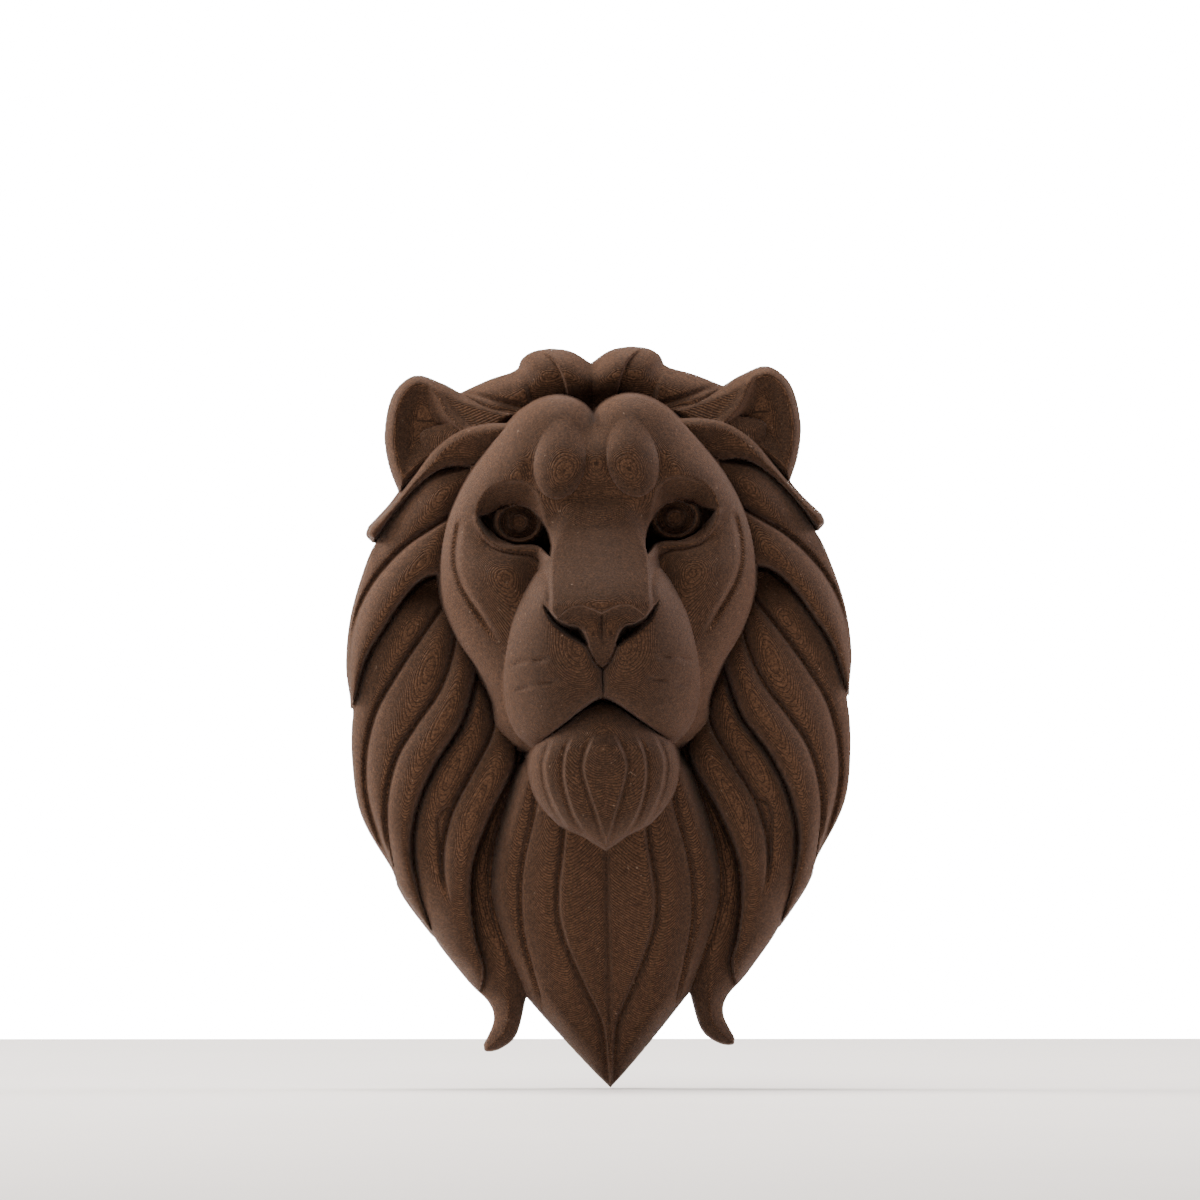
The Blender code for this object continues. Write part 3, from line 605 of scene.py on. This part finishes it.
class Nodes:
    """A short way to add and link a material's nodes."""

    def __init__(self, name):
        self.material = bpy.data.materials.new(name)
        self.material.use_nodes = True
        self.tree = self.material.node_tree
        self.shader = self.tree.nodes["Principled BSDF"]

    def add(self, kind, inputs=None, **values):
        node = self.tree.nodes.new(kind)
        for key, value in values.items():
            setattr(node, key, value)
        for key, value in (inputs or {}).items():
            self.feed(node.inputs[key], value)
        return node

    def feed(self, socket, value):
        if isinstance(value, bpy.types.NodeSocket):
            self.tree.links.new(value, socket)
        else:
            socket.default_value = value

    def math(self, operation, *values):
        return self.add("ShaderNodeMath", dict(enumerate(values)), operation=operation).outputs[0]

    def noise(self, place, scale, detail=2.0, roughness=0.5):
        inputs = {"Vector": place, "Scale": scale, "Detail": detail, "Roughness": roughness}
        return self.add("ShaderNodeTexNoise", inputs).outputs["Fac"]

    def span(self, value, low, high, start=0.0, end=1.0):
        inputs = {"Value": value, "From Min": low, "From Max": high, "To Min": start, "To Max": end}
        return self.add("ShaderNodeMapRange", inputs, interpolation_type="SMOOTHSTEP").outputs[0]

    def blend(self, share, a, b):
        node = self.add("ShaderNodeMix", data_type="RGBA")
        self.feed(node.inputs[0], share)
        self.feed(node.inputs[6], a)
        self.feed(node.inputs[7], b)
        return node.outputs[2]

    def times(self, a, b):
        node = self.add("ShaderNodeMix", data_type="RGBA", blend_type="MULTIPLY")
        self.feed(node.inputs[0], 1.0)
        self.feed(node.inputs[6], a)
        self.feed(node.inputs[7], b)
        return node.outputs[2]

    def bump(self, height, distance, normal=None):
        node = self.add("ShaderNodeBump", {"Height": height, "Distance": distance, "Strength": 1.0})
        if normal:
            self.feed(node.inputs["Normal"], normal)
        return node.outputs[0]


def printed_plastic():
    """Matte dark brown plastic, printed lying on its back: each layer's rim is a line of equal depth."""
    n = Nodes("brown_printed_plastic")
    place = n.add("ShaderNodeTexCoord").outputs["Object"]
    parts = n.add("ShaderNodeSeparateXYZ", {0: place})
    facing = n.add("ShaderNodeSeparateXYZ", {0: n.add("ShaderNodeNewGeometry").outputs["Normal"]})
    frontal = n.math("MULTIPLY", facing.outputs["Y"], -1.0)

    # layer steps: the staircase less the smooth slope that the mesh already has
    wobble = n.math("MULTIPLY", n.noise(place, WAVES), 0.22)
    count = n.math("ADD", n.math("DIVIDE", parts.outputs["Y"], -LAYER * MM), wobble)
    rise = n.math("FRACT", count)
    stair = n.math("SUBTRACT", n.span(rise, 0.55, 1.0), rise)
    near_flat = n.span(frontal, 0.55, 0.98, 0.28, 1.0)
    layers = n.math("MULTIPLY", stair, near_flat)
    # painted shade: a dark line at each layer's foot, where the step shades it, about as wide on a flat slope
    # as on a steep one
    slope = n.math("SQRT", n.math("MAXIMUM", n.math("SUBTRACT", n.math("POWER", frontal, -2.0), 1.0), 0.0))
    half_line = n.math("MINIMUM", n.math("MAXIMUM", n.math("MULTIPLY", slope, 0.7), 0.06), 0.36)
    from_line = n.math("ABSOLUTE", n.math("SUBTRACT", rise, 0.5))
    crease = n.span(from_line, n.math("MULTIPLY", half_line, 0.4), half_line, 1.0, 0.0)
    painted_foot_shade = n.math("MULTIPLY", crease, n.span(frontal, 0.3, 0.9, 0.3, 0.85))

    # the printed lines on the flat back run slantwise
    slant = n.math("ADD", parts.outputs["X"], parts.outputs["Z"])
    lines = n.math("SINE", n.math("MULTIPLY", slant, 2 * np.pi / (LINE * MM * SLANT)))
    behind = n.span(facing.outputs["Y"], 0.9, 0.99)
    back = n.math("MULTIPLY", lines, behind)

    # fine roughness, and grains that are each a little lighter or darker than the next
    cells = n.add("ShaderNodeTexVoronoi", {"Vector": place, "Scale": GRAIN})
    grain = n.add("ShaderNodeSeparateColor", {0: cells.outputs["Color"]}).outputs[0]
    normal = n.bump(n.noise(place, FINE, 2.0, 0.6), ROUGH * MM)
    normal = n.bump(layers, LAYER * MM, normal)
    normal = n.bump(back, LINE_DEPTH * MM, normal)
    n.feed(n.shader.inputs["Normal"], normal)

    broad = n.span(n.noise(place, PATCHES, 3.0), 0.3, 0.7)
    fine = n.span(n.noise(place, FINE, 1.0), 0.32, 0.68)
    colour = n.blend(broad, *BROWNS)
    colour = n.times(colour, n.blend(fine, *FINE_TONES))
    colour = n.times(colour, n.blend(grain, *GRAIN_TONES))
    # painted shade: the highest forms darker, standing for less light falling on them
    painted_crown_shade = n.span(parts.outputs["Y"], -58 * MM, -26 * MM, CROWN_SHADE, 1.0)
    colour = n.times(colour, n.blend(painted_crown_shade, (0, 0, 0, 1), WHITE))
    specks = n.span(n.noise(place, SPECKS, 1.0), 0.74, 0.80)
    colour = n.blend(specks, colour, SPECK)
    # painted shade along each layer's foot
    colour = n.blend(painted_foot_shade, colour, FOOT_SHADE)
    n.feed(n.shader.inputs["Base Color"], colour)
    n.feed(n.shader.inputs["Roughness"], n.span(fine, 0.0, 1.0, *MATTE))
    n.shader.inputs["Specular IOR Level"].default_value = GLOSS
    n.shader.inputs["Sheen Weight"].default_value = SHEEN
    n.shader.inputs["Sheen Roughness"].default_value = SHEEN_SPREAD
    n.shader.inputs["Sheen Tint"].default_value = SHEEN_TINT
    return n.material


def plain(name, colour):
    """A pale, nearly even surface of the studio."""
    n = Nodes(name)
    place = n.add("ShaderNodeTexCoord").outputs["Object"]
    shade = n.span(n.noise(place, 6.0, 3.0), 0.2, 0.8)
    darker = tuple(channel * 0.97 for channel in colour[:3]) + (1.0,)
    n.feed(n.shader.inputs["Base Color"], n.blend(shade, darker, colour))
    n.shader.inputs["Roughness"].default_value = 0.9
    return n.material


def glowing(name, colour, strength):
    """A lit white wall."""
    n = Nodes(name)
    n.shader.inputs["Base Color"].default_value = colour
    n.shader.inputs["Emission Color"].default_value = colour
    n.shader.inputs["Emission Strength"].default_value = strength
    return n.material


def panel(name, corners, material):
    """A flat panel of the studio, tipped so that it is level in the picture, while the mask leans."""
    mesh = bpy.data.meshes.new(name)
    mesh.from_pydata([Vector(corner) * MM for corner in corners], [], [(0, 1, 2, 3)])
    mesh.materials.append(material)
    stage = bpy.data.objects.new(name, mesh)
    tip = Matrix.Translation(Vector((0, 0, FLOOR)) * MM)
    stage.matrix_world = tip @ Matrix.Rotation(np.radians(ROLL), 4, "Y")
    bpy.context.scene.collection.objects.link(stage)


def softbox(name, place, width, watts, colour):
    """A square area light, aimed at the mask's centre."""
    light = bpy.data.lights.new(name, "AREA")
    light.shape = "SQUARE"
    light.size = width * MM
    light.energy = watts
    light.color = colour
    lamp = bpy.data.objects.new(name, light)
    lamp.location = Vector(place) * MM
    lamp.rotation_euler = (-Vector(place)).to_track_quat("-Z", "Y").to_euler()
    bpy.context.scene.collection.objects.link(lamp)


def studio():
    """A pale table that ends behind the mask, a white backdrop and soft lights in front, beside and above."""
    near, far = -TABLE_REACH, FLOOR_BACK
    table = [(near, far, 0), (TABLE_REACH, far, 0), (TABLE_REACH, near, 0), (near, near, 0)]
    panel("table", table, plain("pale_table", TABLE_TONE))
    low, high = WALL_HEIGHTS
    left, right = -WALL_SIDE, WALL_SIDE
    backdrop = [(x, WALL_BACK, z) for x, z in ((left, low), (left, high), (right, high), (right, low))]
    panel("backdrop", backdrop, glowing("white_wall", WHITE, WALL_GLOW))
    for name, (place, width, watts, colour) in SOFTBOXES.items():
        softbox(name, place, width, watts, colour)
    world = bpy.data.worlds.new("white_room")
    world.use_nodes = True
    back = world.node_tree.nodes["Background"]
    back.inputs["Color"].default_value = WHITE
    back.inputs["Strength"].default_value = ROOM_GLOW
    bpy.context.scene.world = world


def camera():
    """Straight ahead of the mask, a little to its left, and tipped as the picture was taken."""
    data = bpy.data.cameras.new("camera")
    data.sensor_width = SENSOR
    data.lens = SENSOR * DISTANCE / (PICTURE * PIXEL)
    data.clip_end = FAR
    view = bpy.data.objects.new("camera", data)
    bpy.context.scene.collection.objects.link(view)
    turn = Matrix.Rotation(np.radians(-TURN), 4, "Z")
    upright = Matrix.Rotation(np.radians(90), 4, "X")
    roll = Matrix.Rotation(np.radians(-ROLL), 4, "Z")
    aim = Matrix.Translation(Vector((AIM[0], 0, AIM[1])) * MM)
    back_off = Matrix.Translation(Vector((0, -DISTANCE, 0)) * MM)
    view.matrix_world = aim @ turn @ back_off @ upright @ roll
    bpy.context.scene.camera = view


camera()
make_mask(printed_plastic())
studio()
